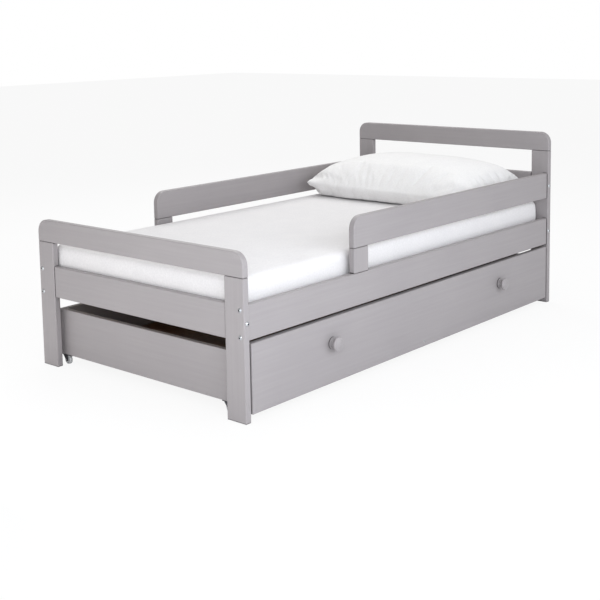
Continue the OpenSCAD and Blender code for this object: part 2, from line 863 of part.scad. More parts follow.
// Plate with two slanted cheeks that reach forward and down to the axle.
module castor_bracket(end, row) {
  top = drawer_side_z - wheel_d / 2;
  under = plate_z - wheel_d / 2;
  ear_r = axle_d / 2 + castor_ear_t;
  color(castor_grey) in_bed() at_castors([end], [row])
    difference() {
      union() {
        translate([-castor_plate_w / 2, -castor_plate_l / 2, under])
          cube([castor_plate_w, castor_plate_l, top - under]);
        for (s = [-1, 1])
          translate([s * (cheek_in_x + cheek_t / 2), 0, 0]) rotate([90, 0, 90])
            linear_extrude(cheek_t, center = true) {
              circle(ear_r);
              polygon([[-ear_r, 0], [ear_r * 0.6, -ear_r * 0.8], [castor_cheek_reach, under + 0.5],
                [-1, under + 0.5]]);
            }
      }
      rotate([0, 90, 0]) cylinder(h = castor_plate_w + 2, d = axle_d, center = true);
      castor_screw_places() translate([0, 0, -board_t]) cylinder(h = board_t + 1, d = castor_screw_d);
    }
}

// Moulded wheel with a round tread, a thin web and a hub.
module castor_wheel(end, row) {
  web_t = wheel_w * 0.55;
  hub_d = axle_d + 2 * hub_t;
  color(wheel_grey) in_bed() at_castors([end], [row]) rotate([0, 90, 0])
    difference() {
      rotate_extrude() {
        translate([wheel_d / 2 - rim_t / 2, 0]) rounded_rect(rim_t, wheel_w, tread_r);
        translate([wheel_d / 4, 0]) square([wheel_d / 2 - rim_t, web_t], center = true);
        translate([hub_d / 4, 0]) square([hub_d / 2, wheel_w], center = true);
      }
      cylinder(h = wheel_w + 2, d = axle_d + 2 * wheel_clear, center = true);
    }
}

module castor_axles() {
  color(zinc) in_bed() at_castors() rotate([0, 90, 0]) {
    cylinder(h = castor_plate_w, d = axle_d, center = true);
    for (s = [-1, 1])
      translate([0, 0, s * (castor_plate_w / 2 + axle_head_h / 2)])
        cylinder(h = axle_head_h, d = axle_d + 2, center = true);
  }
}

module castor_screws() {
  color(zinc) in_bed() at_castors() castor_screw_places() {
    translate([0, 0, plate_z - drawer_side_z]) cylinder(h = castor_screw_l, d = castor_screw_d);
    translate([0, 0, plate_z - drawer_side_z - castor_screw_head_h])
      cylinder(h = castor_screw_head_h, d = castor_screw_head_d);
  }
}

module castor_bracket_foot_front() { castor_bracket(-1, -1); }
module castor_bracket_foot_back() { castor_bracket(-1, 1); }
module castor_bracket_head_front() { castor_bracket(1, -1); }
module castor_bracket_head_back() { castor_bracket(1, 1); }
module castor_wheel_foot_front() { castor_wheel(-1, -1); }
module castor_wheel_foot_back() { castor_wheel(-1, 1); }
module castor_wheel_head_front() { castor_wheel(1, -1); }
module castor_wheel_head_back() { castor_wheel(1, 1); }

// ---- Assembly ----

foot_post_front();
foot_post_back();
foot_top_board();
foot_lower_rail();
head_post_front();
head_post_back();
head_top_board();
head_mid_rail();
head_lower_rail();
side_rail_front();
side_rail_back();
guard_board_front();
guard_board_back();
guard_post_front();
guard_post_back();
slat_bearer_front();
slat_bearer_back();
slat(1);  // slat_1
slat(2);  // slat_2
slat(3);  // slat_3
slat(4);  // slat_4
slat(5);  // slat_5
slat(6);  // slat_6
slat(7);  // slat_7
slat(8);  // slat_8
slat(9);  // slat_9
slat(10);  // slat_10
slat(11);  // slat_11
slat(12);  // slat_12
connector_bolts();
barrel_nuts();
frame_dowels();
slat_screws();
bearer_screws();
mattress();
pillow();
drawer_front();
drawer_back();
drawer_side_foot();
drawer_side_head();
drawer_base_foot();
drawer_base_head();
drawer_centre_rail();
knob_foot();
knob_head();
knob_screws();
drawer_fixings();
drawer_screws();
castor_bracket_foot_front();
castor_bracket_foot_back();
castor_bracket_head_front();
castor_bracket_head_back();
castor_wheel_foot_front();
castor_wheel_foot_back();
castor_wheel_head_front();
castor_wheel_head_back();
castor_axles();
castor_screws();
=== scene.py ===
import math

import bmesh
import bpy
from mathutils import Matrix, Vector, noise


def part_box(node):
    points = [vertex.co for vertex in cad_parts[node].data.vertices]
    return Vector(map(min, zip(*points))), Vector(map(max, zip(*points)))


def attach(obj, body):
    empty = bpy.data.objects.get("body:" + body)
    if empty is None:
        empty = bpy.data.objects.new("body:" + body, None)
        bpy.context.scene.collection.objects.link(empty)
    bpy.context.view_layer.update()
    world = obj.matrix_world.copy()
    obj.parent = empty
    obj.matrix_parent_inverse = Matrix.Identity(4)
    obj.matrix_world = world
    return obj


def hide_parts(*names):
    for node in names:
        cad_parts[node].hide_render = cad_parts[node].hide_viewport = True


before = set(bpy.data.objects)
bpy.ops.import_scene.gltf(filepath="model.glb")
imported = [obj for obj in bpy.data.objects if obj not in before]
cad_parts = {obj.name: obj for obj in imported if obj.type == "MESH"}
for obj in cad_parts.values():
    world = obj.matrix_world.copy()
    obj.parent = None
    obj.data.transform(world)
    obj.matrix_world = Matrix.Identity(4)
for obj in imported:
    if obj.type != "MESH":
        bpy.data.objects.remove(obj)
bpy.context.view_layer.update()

MM = 0.001


# ---- Colours and shader nodes ----

MULTIPLY = {"data_type": "RGBA", "blend_type": "MULTIPLY"}
WHITE = (1, 1, 1, 1)


def linear(hex_colour):
    """sRGB hex value as linear RGBA."""
    parts = [int(hex_colour[i:i + 2], 16) / 255 for i in (1, 3, 5)]
    return tuple(c / 12.92 if c <= 0.04045 else ((c + 0.055) / 1.055) ** 2.4 for c in parts) + (1.0,)


def add(tree, kind, settings=None, inputs=None, stops=()):
    """Adds one node with its settings, sets or links its inputs, and places a colour ramp's stops.
    A ramp starts with two stops, so only the ones past those are made."""
    made = tree.nodes.new(kind)
    for name, value in (settings or {}).items():
        setattr(made, name, value)
    for name, value in (inputs or {}).items():
        if isinstance(value, bpy.types.NodeSocket):
            tree.links.new(value, made.inputs[name])
        else:
            made.inputs[name].default_value = value
    for _ in stops[2:]:
        made.color_ramp.elements.new(0.5)
    for number, (place, colour) in enumerate(stops):
        made.color_ramp.elements[number].position = place
        made.color_ramp.elements[number].color = colour
    return made


def new_material(name):
    """An empty node material with its tree and its object coordinates, in metres."""
    made = bpy.data.materials.new(name)
    made.use_nodes = True
    tree = made.node_tree
    tree.nodes.clear()
    coords = add(tree, "ShaderNodeTexCoord").outputs["Object"]
    return made, tree, coords


def shade_painted_in_corners(tree, colour, reach, stops):
    """Paints shade into a colour: darkens it inside corners, joints and recesses that lie within reach, in
    metres.
    """
    open_part = add(tree, "ShaderNodeAmbientOcclusion", {"samples": 8}, {"Distance": reach})
    shade = add(tree, "ShaderNodeValToRGB", inputs={"Fac": open_part.outputs["AO"]}, stops=stops)
    return add(tree, "ShaderNodeMix", MULTIPLY, {0: 1.0, 6: colour, 7: shade.outputs["Color"]})


# ---- Materials ----

AXES = {"x": 0, "y": 1, "z": 2}
# A wave texture of scale 1 repeats after this length, in metres.
WAVE_LENGTH = 0.314


def along(axis, run, across):
    """Scale of a pattern that is stretched along one axis, from its two sizes in metres."""
    scale = [1 / across] * 3
    scale[AXES[axis]] = 1 / run
    return scale


def satin_grey_paint(axis):
    """Sprayed water-based paint on planed pine. A satin coat that softens the grain but doesn't hide it:
    faint raised lines along the board and a fine spray stipple, with painted shade darkening the colour where
    two boards meet."""
    made, tree, coords = new_material("satin_grey_paint_" + axis)
    grain_at = add(tree, "ShaderNodeMapping", inputs={
        "Vector": coords, "Scale": along(axis, 260 * MM, 7 * MM)})
    grain = add(tree, "ShaderNodeTexNoise", inputs={
        "Vector": grain_at.outputs["Vector"], "Scale": 1.0, "Detail": 5.0, "Roughness": 0.6})
    cloud = add(tree, "ShaderNodeTexNoise", inputs={
        "Vector": coords, "Scale": 1 / (180 * MM), "Detail": 3.0})
    stipple = add(tree, "ShaderNodeTexNoise", inputs={
        "Vector": coords, "Scale": 1 / (1.4 * MM), "Detail": 2.0})
    base = add(tree, "ShaderNodeValToRGB", inputs={"Fac": grain.outputs["Fac"]}, stops=[
        (0.30, linear("#9a9596")), (0.72, linear("#9f9a9b"))])
    patchy = add(tree, "ShaderNodeValToRGB", inputs={"Fac": cloud.outputs["Fac"]}, stops=[
        (0.35, (0.965, 0.965, 0.97, 1)), (0.65, WHITE)])
    coat = add(tree, "ShaderNodeMix", MULTIPLY, {
        0: 1.0, 6: base.outputs["Color"], 7: patchy.outputs["Color"]})
    # Painted shade: the paint colour darkens towards a deep grey within 7 mm of corners, joints and grooves.
    colour = shade_painted_in_corners(tree, coat.outputs[2], 7 * MM, [(0.42, (0.2, 0.19, 0.19, 1)), (0.82, WHITE)])
    height = add(tree, "ShaderNodeMath", {"operation": "ADD"}, {
        0: grain.outputs["Fac"], 1: stipple.outputs["Fac"]})
    bump = add(tree, "ShaderNodeBump", inputs={
        "Height": height.outputs[0], "Strength": 0.07, "Distance": 0.25 * MM})
    rough = add(tree, "ShaderNodeMapRange", inputs={
        "Value": cloud.outputs["Fac"], "To Min": 0.40, "To Max": 0.50})
    shader = add(tree, "ShaderNodeBsdfPrincipled", inputs={
        "Base Color": colour.outputs[2], "Roughness": rough.outputs["Result"], "IOR": 1.48,
        "Normal": bump.outputs["Normal"]})
    add(tree, "ShaderNodeOutputMaterial", inputs={"Surface": shader.outputs["BSDF"]})
    return made


def bare_pine(axis):
    """Planed softwood, unfinished: pale early wood with narrow orange-brown late wood lines."""
    made, tree, coords = new_material("bare_pine_" + axis)
    ring_at = add(tree, "ShaderNodeMapping", inputs={
        "Vector": coords, "Scale": along(axis, 420 * MM, 22 * MM)})
    bend = add(tree, "ShaderNodeTexNoise", inputs={
        "Vector": ring_at.outputs["Vector"], "Scale": 1.0, "Detail": 3.0})
    rings = add(tree, "ShaderNodeMath", {"operation": "MULTIPLY"}, {0: bend.outputs["Fac"], 1: 14.0})
    band = add(tree, "ShaderNodeMath", {"operation": "FRACT"}, {0: rings.outputs[0]})
    fibre_at = add(tree, "ShaderNodeMapping", inputs={
        "Vector": coords, "Scale": along(axis, 60 * MM, 0.9 * MM)})
    fibre = add(tree, "ShaderNodeTexNoise", inputs={
        "Vector": fibre_at.outputs["Vector"], "Scale": 1.0, "Detail": 2.0})
    wood = add(tree, "ShaderNodeValToRGB", inputs={"Fac": band.outputs[0]}, stops=[
        (0.0, linear("#e2c79a")), (0.62, linear("#dcbd8c")), (0.92, linear("#c0925a")),
        (1.0, linear("#e0c496"))])
    dusty = add(tree, "ShaderNodeValToRGB", inputs={"Fac": fibre.outputs["Fac"]}, stops=[
        (0.3, (0.90, 0.89, 0.87, 1)), (0.7, WHITE)])
    colour = add(tree, "ShaderNodeMix", MULTIPLY, {
        0: 1.0, 6: wood.outputs["Color"], 7: dusty.outputs["Color"]})
    bump = add(tree, "ShaderNodeBump", inputs={
        "Height": fibre.outputs["Fac"], "Strength": 0.3, "Distance": 0.3 * MM})
    shader = add(tree, "ShaderNodeBsdfPrincipled", inputs={
        "Base Color": colour.outputs[2], "Roughness": 0.62, "IOR": 1.5, "Normal": bump.outputs["Normal"]})
    add(tree, "ShaderNodeOutputMaterial", inputs={"Surface": shader.outputs["BSDF"]})
    return made


def pressed_hardboard():
    """Wood fibre pressed smooth on one face: dark brown, with short pale fibres in it."""
    made, tree, coords = new_material("pressed_hardboard")
    fibres = add(tree, "ShaderNodeTexVoronoi", {"feature": "DISTANCE_TO_EDGE"}, {
        "Vector": coords, "Scale": 1 / (3.5 * MM), "Randomness": 1.0})
    cloud = add(tree, "ShaderNodeTexNoise", inputs={
        "Vector": coords, "Scale": 1 / (12 * MM), "Detail": 6.0})
    speck = add(tree, "ShaderNodeValToRGB", inputs={"Fac": fibres.outputs["Distance"]}, stops=[
        (0.0, (1.18, 1.15, 1.1, 1)), (0.12, WHITE)])
    base = add(tree, "ShaderNodeValToRGB", inputs={"Fac": cloud.outputs["Fac"]}, stops=[
        (0.3, linear("#5c402d")), (0.7, linear("#755440"))])
    colour = add(tree, "ShaderNodeMix", MULTIPLY, {
        0: 1.0, 6: base.outputs["Color"], 7: speck.outputs["Color"]})
    bump = add(tree, "ShaderNodeBump", inputs={
        "Height": cloud.outputs["Fac"], "Strength": 0.2, "Distance": 0.2 * MM})
    shader = add(tree, "ShaderNodeBsdfPrincipled", inputs={
        "Base Color": colour.outputs[2], "Roughness": 0.45, "IOR": 1.5, "Normal": bump.outputs["Normal"]})
    add(tree, "ShaderNodeOutputMaterial", inputs={"Surface": shader.outputs["BSDF"]})
    return made


def bright_zinc():
    """Zinc-plated steel: a clear silver plate, a little cloudy, with fine tumbling marks."""
    made, tree, coords = new_material("bright_zinc")
    cloud = add(tree, "ShaderNodeTexNoise", inputs={
        "Vector": coords, "Scale": 1 / (2.5 * MM), "Detail": 4.0})
    plate = add(tree, "ShaderNodeValToRGB", inputs={"Fac": cloud.outputs["Fac"]}, stops=[
        (0.3, linear("#b4b7ba")), (0.7, linear("#cdd0d2"))])
    # Painted shade: the zinc colour goes nearly black within 4 mm of hollows, such as the bolt heads' hex
    # sockets.
    colour = shade_painted_in_corners(tree, plate.outputs["Color"], 4 * MM, [(0.45, (0.05, 0.05, 0.05, 1)), (0.85, WHITE)])
    rough = add(tree, "ShaderNodeMapRange", inputs={
        "Value": cloud.outputs["Fac"], "To Min": 0.22, "To Max": 0.38})
    bump = add(tree, "ShaderNodeBump", inputs={
        "Height": cloud.outputs["Fac"], "Strength": 0.15, "Distance": 0.05 * MM})
    shader = add(tree, "ShaderNodeBsdfPrincipled", inputs={
        "Base Color": colour.outputs[2], "Metallic": 1.0, "Roughness": rough.outputs["Result"],
        "Normal": bump.outputs["Normal"]})
    add(tree, "ShaderNodeOutputMaterial", inputs={"Surface": shader.outputs["BSDF"]})
    return made


def black_passivated_steel():
    """Pressed steel with a dark passivated coat: grey-black with a soft sheen and paler scuffs."""
    made, tree, coords = new_material("black_passivated_steel")
    cloud = add(tree, "ShaderNodeTexNoise", inputs={
        "Vector": coords, "Scale": 1 / (3 * MM), "Detail": 5.0})
    colour = add(tree, "ShaderNodeValToRGB", inputs={"Fac": cloud.outputs["Fac"]}, stops=[
        (0.35, linear("#3c3c40")), (0.75, linear("#5e5e63"))])
    rough = add(tree, "ShaderNodeMapRange", inputs={
        "Value": cloud.outputs["Fac"], "To Min": 0.35, "To Max": 0.5})
    bump = add(tree, "ShaderNodeBump", inputs={
        "Height": cloud.outputs["Fac"], "Strength": 0.15, "Distance": 0.08 * MM})
    shader = add(tree, "ShaderNodeBsdfPrincipled", inputs={
        "Base Color": colour.outputs["Color"], "Metallic": 0.6, "Roughness": rough.outputs["Result"],
        "Normal": bump.outputs["Normal"]})
    add(tree, "ShaderNodeOutputMaterial", inputs={"Surface": shader.outputs["BSDF"]})
    return made


def moulded_nylon():
    """Natural nylon, injection moulded: milky grey, lets a little light into its edges, fine floor scuffs."""
    made, tree, coords = new_material("moulded_nylon")
    scuff = add(tree, "ShaderNodeTexNoise", inputs={
        "Vector": coords, "Scale": 1 / (1.5 * MM), "Detail": 4.0})
    colour = add(tree, "ShaderNodeValToRGB", inputs={"Fac": scuff.outputs["Fac"]}, stops=[
        (0.3, linear("#b9babb")), (0.7, linear("#cfd0d0"))])
    bump = add(tree, "ShaderNodeBump", inputs={
        "Height": scuff.outputs["Fac"], "Strength": 0.15, "Distance": 0.08 * MM})
    shader = add(tree, "ShaderNodeBsdfPrincipled", inputs={
        "Base Color": colour.outputs["Color"], "Roughness": 0.38, "IOR": 1.53,
        "Subsurface Weight": 0.4, "Subsurface Radius": (4 * MM, 4 * MM, 4 * MM),
        "Subsurface Scale": 0.5, "Normal": bump.outputs["Normal"]})
    add(tree, "ShaderNodeOutputMaterial", inputs={"Surface": shader.outputs["BSDF"]})
    return made


def washed_cotton(name, thread, deep, pale):
    """Woven or knitted white cotton. Its 0.3 mm threads are drawn coarser so that they show, with the
    soft mottling of washed cloth and a faint fibre sheen."""
    made, tree, coords = new_material(name)
    waves = []
    for side in ("X", "Y", "Z"):
        wave = add(tree, "ShaderNodeTexWave", {"wave_type": "BANDS", "bands_direction": side}, {
            "Vector": coords, "Scale": WAVE_LENGTH / thread, "Distortion": 1.5, "Detail": 1.0,
            "Detail Scale": 2.0})
        waves.append(wave.outputs["Fac"])
    pair = add(tree, "ShaderNodeMath", {"operation": "ADD"}, {0: waves[0], 1: waves[1]})
    weave = add(tree, "ShaderNodeMath", {"operation": "ADD"}, {0: pair.outputs[0], 1: waves[2]})
    lint = add(tree, "ShaderNodeTexNoise", inputs={
        "Vector": coords, "Scale": 1 / (5 * MM), "Detail": 4.0})
    soft = add(tree, "ShaderNodeTexNoise", inputs={
        "Vector": coords, "Scale": 1 / (60 * MM), "Detail": 3.0})
    height = add(tree, "ShaderNodeMath", {"operation": "MULTIPLY_ADD"}, {
        0: lint.outputs["Fac"], 1: 1.2, 2: weave.outputs[0]})
    base = add(tree, "ShaderNodeValToRGB", inputs={"Fac": lint.outputs["Fac"]}, stops=[
        (0.3, linear(deep)), (0.7, linear(pale))])
    wash = add(tree, "ShaderNodeValToRGB", inputs={"Fac": soft.outputs["Fac"]}, stops=[
        (0.35, (0.975, 0.975, 0.98, 1)), (0.65, WHITE)])
    colour = add(tree, "ShaderNodeMix", MULTIPLY, {
        0: 1.0, 6: base.outputs["Color"], 7: wash.outputs["Color"]})
    bump = add(tree, "ShaderNodeBump", inputs={
        "Height": height.outputs[0], "Strength": 0.25, "Distance": 0.3 * MM})
    shader = add(tree, "ShaderNodeBsdfPrincipled", inputs={
        "Base Color": colour.outputs[2], "Roughness": 0.85, "IOR": 1.45, "Sheen Weight": 0.25,
        "Sheen Roughness": 0.5, "Normal": bump.outputs["Normal"]})
    add(tree, "ShaderNodeOutputMaterial", inputs={"Surface": shader.outputs["BSDF"]})
    return made


# ---- Painted boards and hardware: the frame's own parts with their finishes ----

def put_on(material, *nodes):
    """Gives frame parts their finish."""
    for name in nodes:
        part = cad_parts[name]
        part.data.materials.clear()
        part.data.materials.append(material)


def starting(*beginnings):
    """Names of the frame's parts that start with one of these."""
    return [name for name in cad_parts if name.startswith(beginnings)]


def finish_frame():
    """Paint runs along each board, the slats and their bearers stay bare, and the rest is hardware."""
    slats = [name for name in starting("slat_") if name.removeprefix("slat_").isdigit()]
    put_on(satin_grey_paint("x"), *starting("side_rail", "guard_board", "knob_foot", "knob_head"),
           "drawer_front", "drawer_back")
    put_on(satin_grey_paint("y"), *starting("foot_top", "foot_lower", "head_top", "head_mid", "head_lower"),
           "drawer_side_foot", "drawer_side_head", "drawer_centre_rail")
    put_on(satin_grey_paint("z"), *starting("foot_post", "head_post", "guard_post"))
    put_on(bare_pine("x"), "slat_bearer_front", "slat_bearer_back")
    put_on(bare_pine("y"), "frame_dowels", *slats)
    put_on(pressed_hardboard(), "drawer_base_foot", "drawer_base_head")
    put_on(bright_zinc(), "connector_bolts", "barrel_nuts", "slat_screws", "bearer_screws", "knob_screws",
           "drawer_fixings", "drawer_screws", "castor_axles", "castor_screws")
    put_on(black_passivated_steel(), *starting("castor_bracket"))
    put_on(moulded_nylon(), *starting("castor_wheel"))


# ---- Shapes shared by the bedding ----

def object_from(name, mesh):
    """A smooth-shaded object made from a bmesh."""
    data = bpy.data.meshes.new(name)
    mesh.to_mesh(data)
    mesh.free()
    data.polygons.foreach_set("use_smooth", [True] * len(data.polygons))
    made = bpy.data.objects.new(name, data)
    bpy.context.scene.collection.objects.link(made)
    return made


def smooth_step(value, low, high):
    """Rises gently from 0 at low to 1 at high."""
    t = min(1.0, max(0.0, (value - low) / (high - low)))
    return t * t * (3 - 2 * t)


def bumps(point, per_metre, start):
    """Smooth noise from about -1 to 1, with so many bumps to the metre along each axis."""
    scaled = Vector([place * count for place, count in zip(point, per_metre)])
    return noise.noise(scaled + Vector(start))


def dress(made, body, material):
    """Puts the cloth on, softens the mesh and hands the piece over to its body."""
    made.data.materials.append(material)
    smooth = made.modifiers.new("smooth", "SUBSURF")
    smooth.levels = 1
    smooth.render_levels = 1
    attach(made, body)
    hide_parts(body)


# ---- Mattress in its fitted sheet ----

MATTRESS_CELL = 10 * MM
MATTRESS_EDGE_R = 19 * MM
# The foam sags over this distance from its sides, and the sheet gathers this near to its corners.
SAG_REACH = 90 * MM
GATHER_REACH = 120 * MM
# Depths of the sag over the whole top and more at the sides, of the foam's lumps and the sheet's slack.
SAG_TOP = 1.2 * MM
SAG_SIDES = 2.0 * MM
LUMP_DEPTH = 1.0 * MM
SLACK_DEPTH = 0.5 * MM
# The sheet's sides are pulled in by the elastic, in slow waves.
SIDE_PULL = 1.6 * MM
SIDE_WAVE = 1.2 * MM
# Small folds: their depth, how much deeper they are at the corners, and the share left at the rims.
FOLD_DEPTH = 0.35 * MM
FOLD_CORNERS = 1.1 * MM
FOLD_AT_RIM = 0.3
# Bumps to the metre along each axis, and where each pattern starts.
LUMPS = (4.5, 4.5, 0), (0, 0, 1.7)
SLACK = (13, 13, 0), (0, 0, 6.1)
FOLDS = (38, 38, 5), (0, 0, 0)
WAVES = (9, 9, 0), (0, 0, 3.3)
SHEET_THREAD = 1.1 * MM


def grid_box(low, high, step):
    """Closed box made of square cells of about one size, without shared edges doubled."""
    mesh = bmesh.new()
    size = [high[i] - low[i] for i in range(3)]
    cells = [max(2, round(s / step)) for s in size]
    for axis in range(3):
        one, two = [i for i in range(3) if i != axis]
        for side in (low, high):
            rows = []
            for i in range(cells[one] + 1):
                row = []
                for j in range(cells[two] + 1):
                    at = [0.0, 0.0, 0.0]
                    at[axis] = side[axis]
                    at[one] = low[one] + size[one] * i / cells[one]
                    at[two] = low[two] + size[two] * j / cells[two]
                    row.append(mesh.verts.new(at))
                rows.append(row)
            for i in range(cells[one]):
                for j in range(cells[two]):
                    mesh.faces.new((rows[i][j], rows[i + 1][j], rows[i + 1][j + 1], rows[i][j + 1]))
    bmesh.ops.remove_doubles(mesh, verts=mesh.verts, dist=step * 0.1)
    bmesh.ops.recalc_face_normals(mesh, faces=mesh.faces)
    return mesh


def round_edges(mesh, mid, half, radius):
    """Rounds a box's edges and corners by moving its points onto a rounded box of the same size."""
    for vert in mesh.verts:
        p = vert.co - mid
        core = Vector([min(max(p[i], radius - half[i]), half[i] - radius) for i in range(3)])
        out = p - core
        if out.length > 0:
            core += out.normalized() * radius
        vert.co = core + mid


def make_mattress():
    """Foam block in a fitted sheet: soft edges, a slight sag, and small folds gathered at the corners."""
    low, high = (Vector(c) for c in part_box("mattress"))
    mid = (low + high) / 2
    half = (high - low) / 2
    mesh = grid_box(low, high, MATTRESS_CELL)
    round_edges(mesh, mid, half, MATTRESS_EDGE_R)
    for vert in mesh.verts:
        p = vert.co - mid
        near_x = smooth_step(abs(p.x), half.x - SAG_REACH, half.x)
        near_y = smooth_step(abs(p.y), half.y - SAG_REACH, half.y)
        lumps = bumps(vert.co, *LUMPS)
        slack = bumps(vert.co, *SLACK)
        sag = SAG_TOP + SAG_SIDES * max(near_x, near_y) + LUMP_DEPTH * lumps + SLACK_DEPTH * slack
        vert.co.z -= smooth_step(p.z, 0, half.z) * sag
        side = 1 - abs(p.z) / half.z
        gather_x = smooth_step(abs(p.x), half.x - GATHER_REACH, half.x)
        gather_y = smooth_step(abs(p.y), half.y - GATHER_REACH, half.y)
        fold = bumps(vert.co, *FOLDS)
        wave = bumps(vert.co, *WAVES)
        fold_depth = (FOLD_DEPTH + FOLD_CORNERS * gather_x * gather_y) * (FOLD_AT_RIM + side)
        pull = side * (SIDE_WAVE * wave - SIDE_PULL) + fold * fold_depth
        for i in (0, 1):
            if abs(p[i]) >= half[i] - MATTRESS_EDGE_R:
                vert.co[i] += math.copysign(min(pull, 0.0), p[i])
    made = object_from("mattress_in_fitted_sheet", mesh)
    sheet = washed_cotton("washed_jersey_cotton", SHEET_THREAD, "#dfdddd", "#e7e5e5")
    dress(made, "mattress", sheet)


# ---- Pillow ----

PILLOW_CELLS = (64, 110)
# Height of the seam above the mattress, and how far it hangs between the corners.
SEAM_RISE = 47 * MM
SEAM_DROOP = 9 * MM
# How far the sides, and then the corners, draw in as shares of the half size, across and along.
SIDES_DRAW_IN = (0.02, 0.01)
CORNERS_DRAW_IN = (0.03, 0.015)
# Swell of the filling: powers that shape it across and along, and how much more it holds towards
# the head and the corners.
SWELL_ACROSS = (2.0, 0.52)
SWELL_ALONG = (2.3, 0.46)
SWELL_HEAD = 0.1
SWELL_CORNERS = 0.35
# The underside's depth below the seam before the mattress presses it flat.
UNDERSIDE_DEPTH = 120 * MM
# Share of its full height that the envelope has before it is filled.
UNFILLED = 0.93
# The filling may move the cloth by no more than this, and it settles within so many frames.
FILL_CAP = 16 * MM
FILL_FRAMES = 24
# The seam stands out as a ridge, because the cloth beside it is drawn inwards.
SEAM_NIP = 1.6 * MM
SEAM_CREASE = 0.85
# Lumps of the filling: their height, their bumps to the metre and where the pattern starts.
LUMP_HEIGHT = 3.0 * MM
FILLING_LUMPS = (9, 7, 9), (3.1, 7.7, 1.3)
# The pressed underside lies this far above the mattress and curls up to it over the press depth.
PILLOW_CLEAR = 0.6 * MM
PRESS_DEPTH = 12 * MM
CASE_THREAD = 0.8 * MM
# Percale cloth blown up by its filling. A negative shrink lets it grow, which makes the wrinkles.
FILLED_PERCALE = {
    "quality": 6, "mass": 0.2, "tension_stiffness": 18, "compression_stiffness": 9,
    "shear_stiffness": 4, "bending_stiffness": 0.08, "use_pressure": True,
    "uniform_pressure_force": 4, "shrink_min": -0.06, "vertex_group_mass": "seam"}


def swell(u, v):
    """Share of the full height at a place from -1 to 1 across (u) and along (v) the pillow."""
    across = (1 - abs(u) ** SWELL_ACROSS[0]) ** SWELL_ACROSS[1]
    lengthwise = (1 - abs(v) ** SWELL_ALONG[0]) ** SWELL_ALONG[1]
    return across * lengthwise * (1 + SWELL_HEAD * u) * (1 + SWELL_CORNERS * (u * v) ** 2)


def pillow_envelope(low, high):
    """Closed two-layer envelope, sewn round its edge, and the numbers of the points on its seam."""
    mid_x, mid_y = (low.x + high.x) / 2, (low.y + high.y) / 2
    half_x, half_y = (high.x - low.x) / 2, (high.y - low.y) / 2
    seam_z = low.z + SEAM_RISE
    cols, rows = PILLOW_CELLS
    mesh = bmesh.new()
    layers = []
    seam = set()
    for sign, depth in ((1, high.z - seam_z), (-1, UNDERSIDE_DEPTH)):
        layer = []
        for i in range(cols + 1):
            line = []
            for j in range(rows + 1):
                u, v = 2 * i / cols - 1, 2 * j / rows - 1
                edge = i in (0, cols) or j in (0, rows)
                if edge and sign < 0:
                    line.append(layers[0][i][j])
                    continue
                corner = (u * v) ** 6
                x = mid_x + u * half_x * (1 - SIDES_DRAW_IN[0] * (1 - v * v) - CORNERS_DRAW_IN[0] * corner)
                y = mid_y + v * half_y * (1 - SIDES_DRAW_IN[1] * (1 - u * u) - CORNERS_DRAW_IN[1] * corner)
                rise = depth * swell(u, v) * UNFILLED
                droop = SEAM_DROOP * (1 - u * u * v * v) * max(abs(u), abs(v)) ** 6
                vert = mesh.verts.new((x, y, seam_z + sign * rise - droop))
                line.append(vert)
                if edge:
                    seam.add(vert)
            layer.append(line)
        layers.append(layer)
    for sign, layer in zip((1, -1), layers):
        for i in range(cols):
            for j in range(rows):
                face = (layer[i][j], layer[i + 1][j], layer[i + 1][j + 1], layer[i][j + 1])
                mesh.faces.new(face[::sign])
    mesh.verts.index_update()
    return mesh, sorted(v.index for v in seam)


def fill_with_cloth(made, seam):
    """Fills the envelope by cloth simulation, then keeps the result as its mesh."""
    group = made.vertex_groups.new(name="seam")
    group.add(seam, 1.0, "REPLACE")
    start = [v.co.copy() for v in made.data.vertices]
    cloth = made.modifiers.new("filling", "CLOTH")
    for name, value in FILLED_PERCALE.items():
        setattr(cloth.settings, name, value)
    cloth.settings.effector_weights.gravity = 0
    cloth.collision_settings.use_collision = False
    cloth.point_cache.frame_start = 1
    cloth.point_cache.frame_end = FILL_FRAMES
    scene = bpy.context.scene
    for frame_number in range(1, FILL_FRAMES + 1):
        scene.frame_set(frame_number)
    ready = made.evaluated_get(bpy.context.evaluated_depsgraph_get())
    moved = [v.co.copy() for v in ready.data.vertices]
    made.modifiers.clear()
    made.vertex_groups.clear()
    scene.frame_set(1)
    for vert, old, new in zip(made.data.vertices, start, moved):
        step = new - old
        if step.length > FILL_CAP:
            step = step.normalized() * FILL_CAP
        vert.co = old + step


def sew_ridge(made, seam, middle):
    """Keeps the seam sharp and draws the cloth next to it inwards, level with the seam."""
    crease = made.data.attributes.new("crease_edge", "FLOAT", "EDGE")
    on_seam = set(seam)
    beside = set()
    for edge in made.data.edges:
        one, two = edge.vertices
        if one in on_seam and two in on_seam:
            crease.data[edge.index].value = SEAM_CREASE
        elif one in on_seam:
            beside.add(two)
        elif two in on_seam:
            beside.add(one)
    for index in sorted(beside):
        vert = made.data.vertices[index]
        inward = Vector((middle.x - vert.co.x, middle.y - vert.co.y, 0))
        vert.co += inward.normalized() * SEAM_NIP


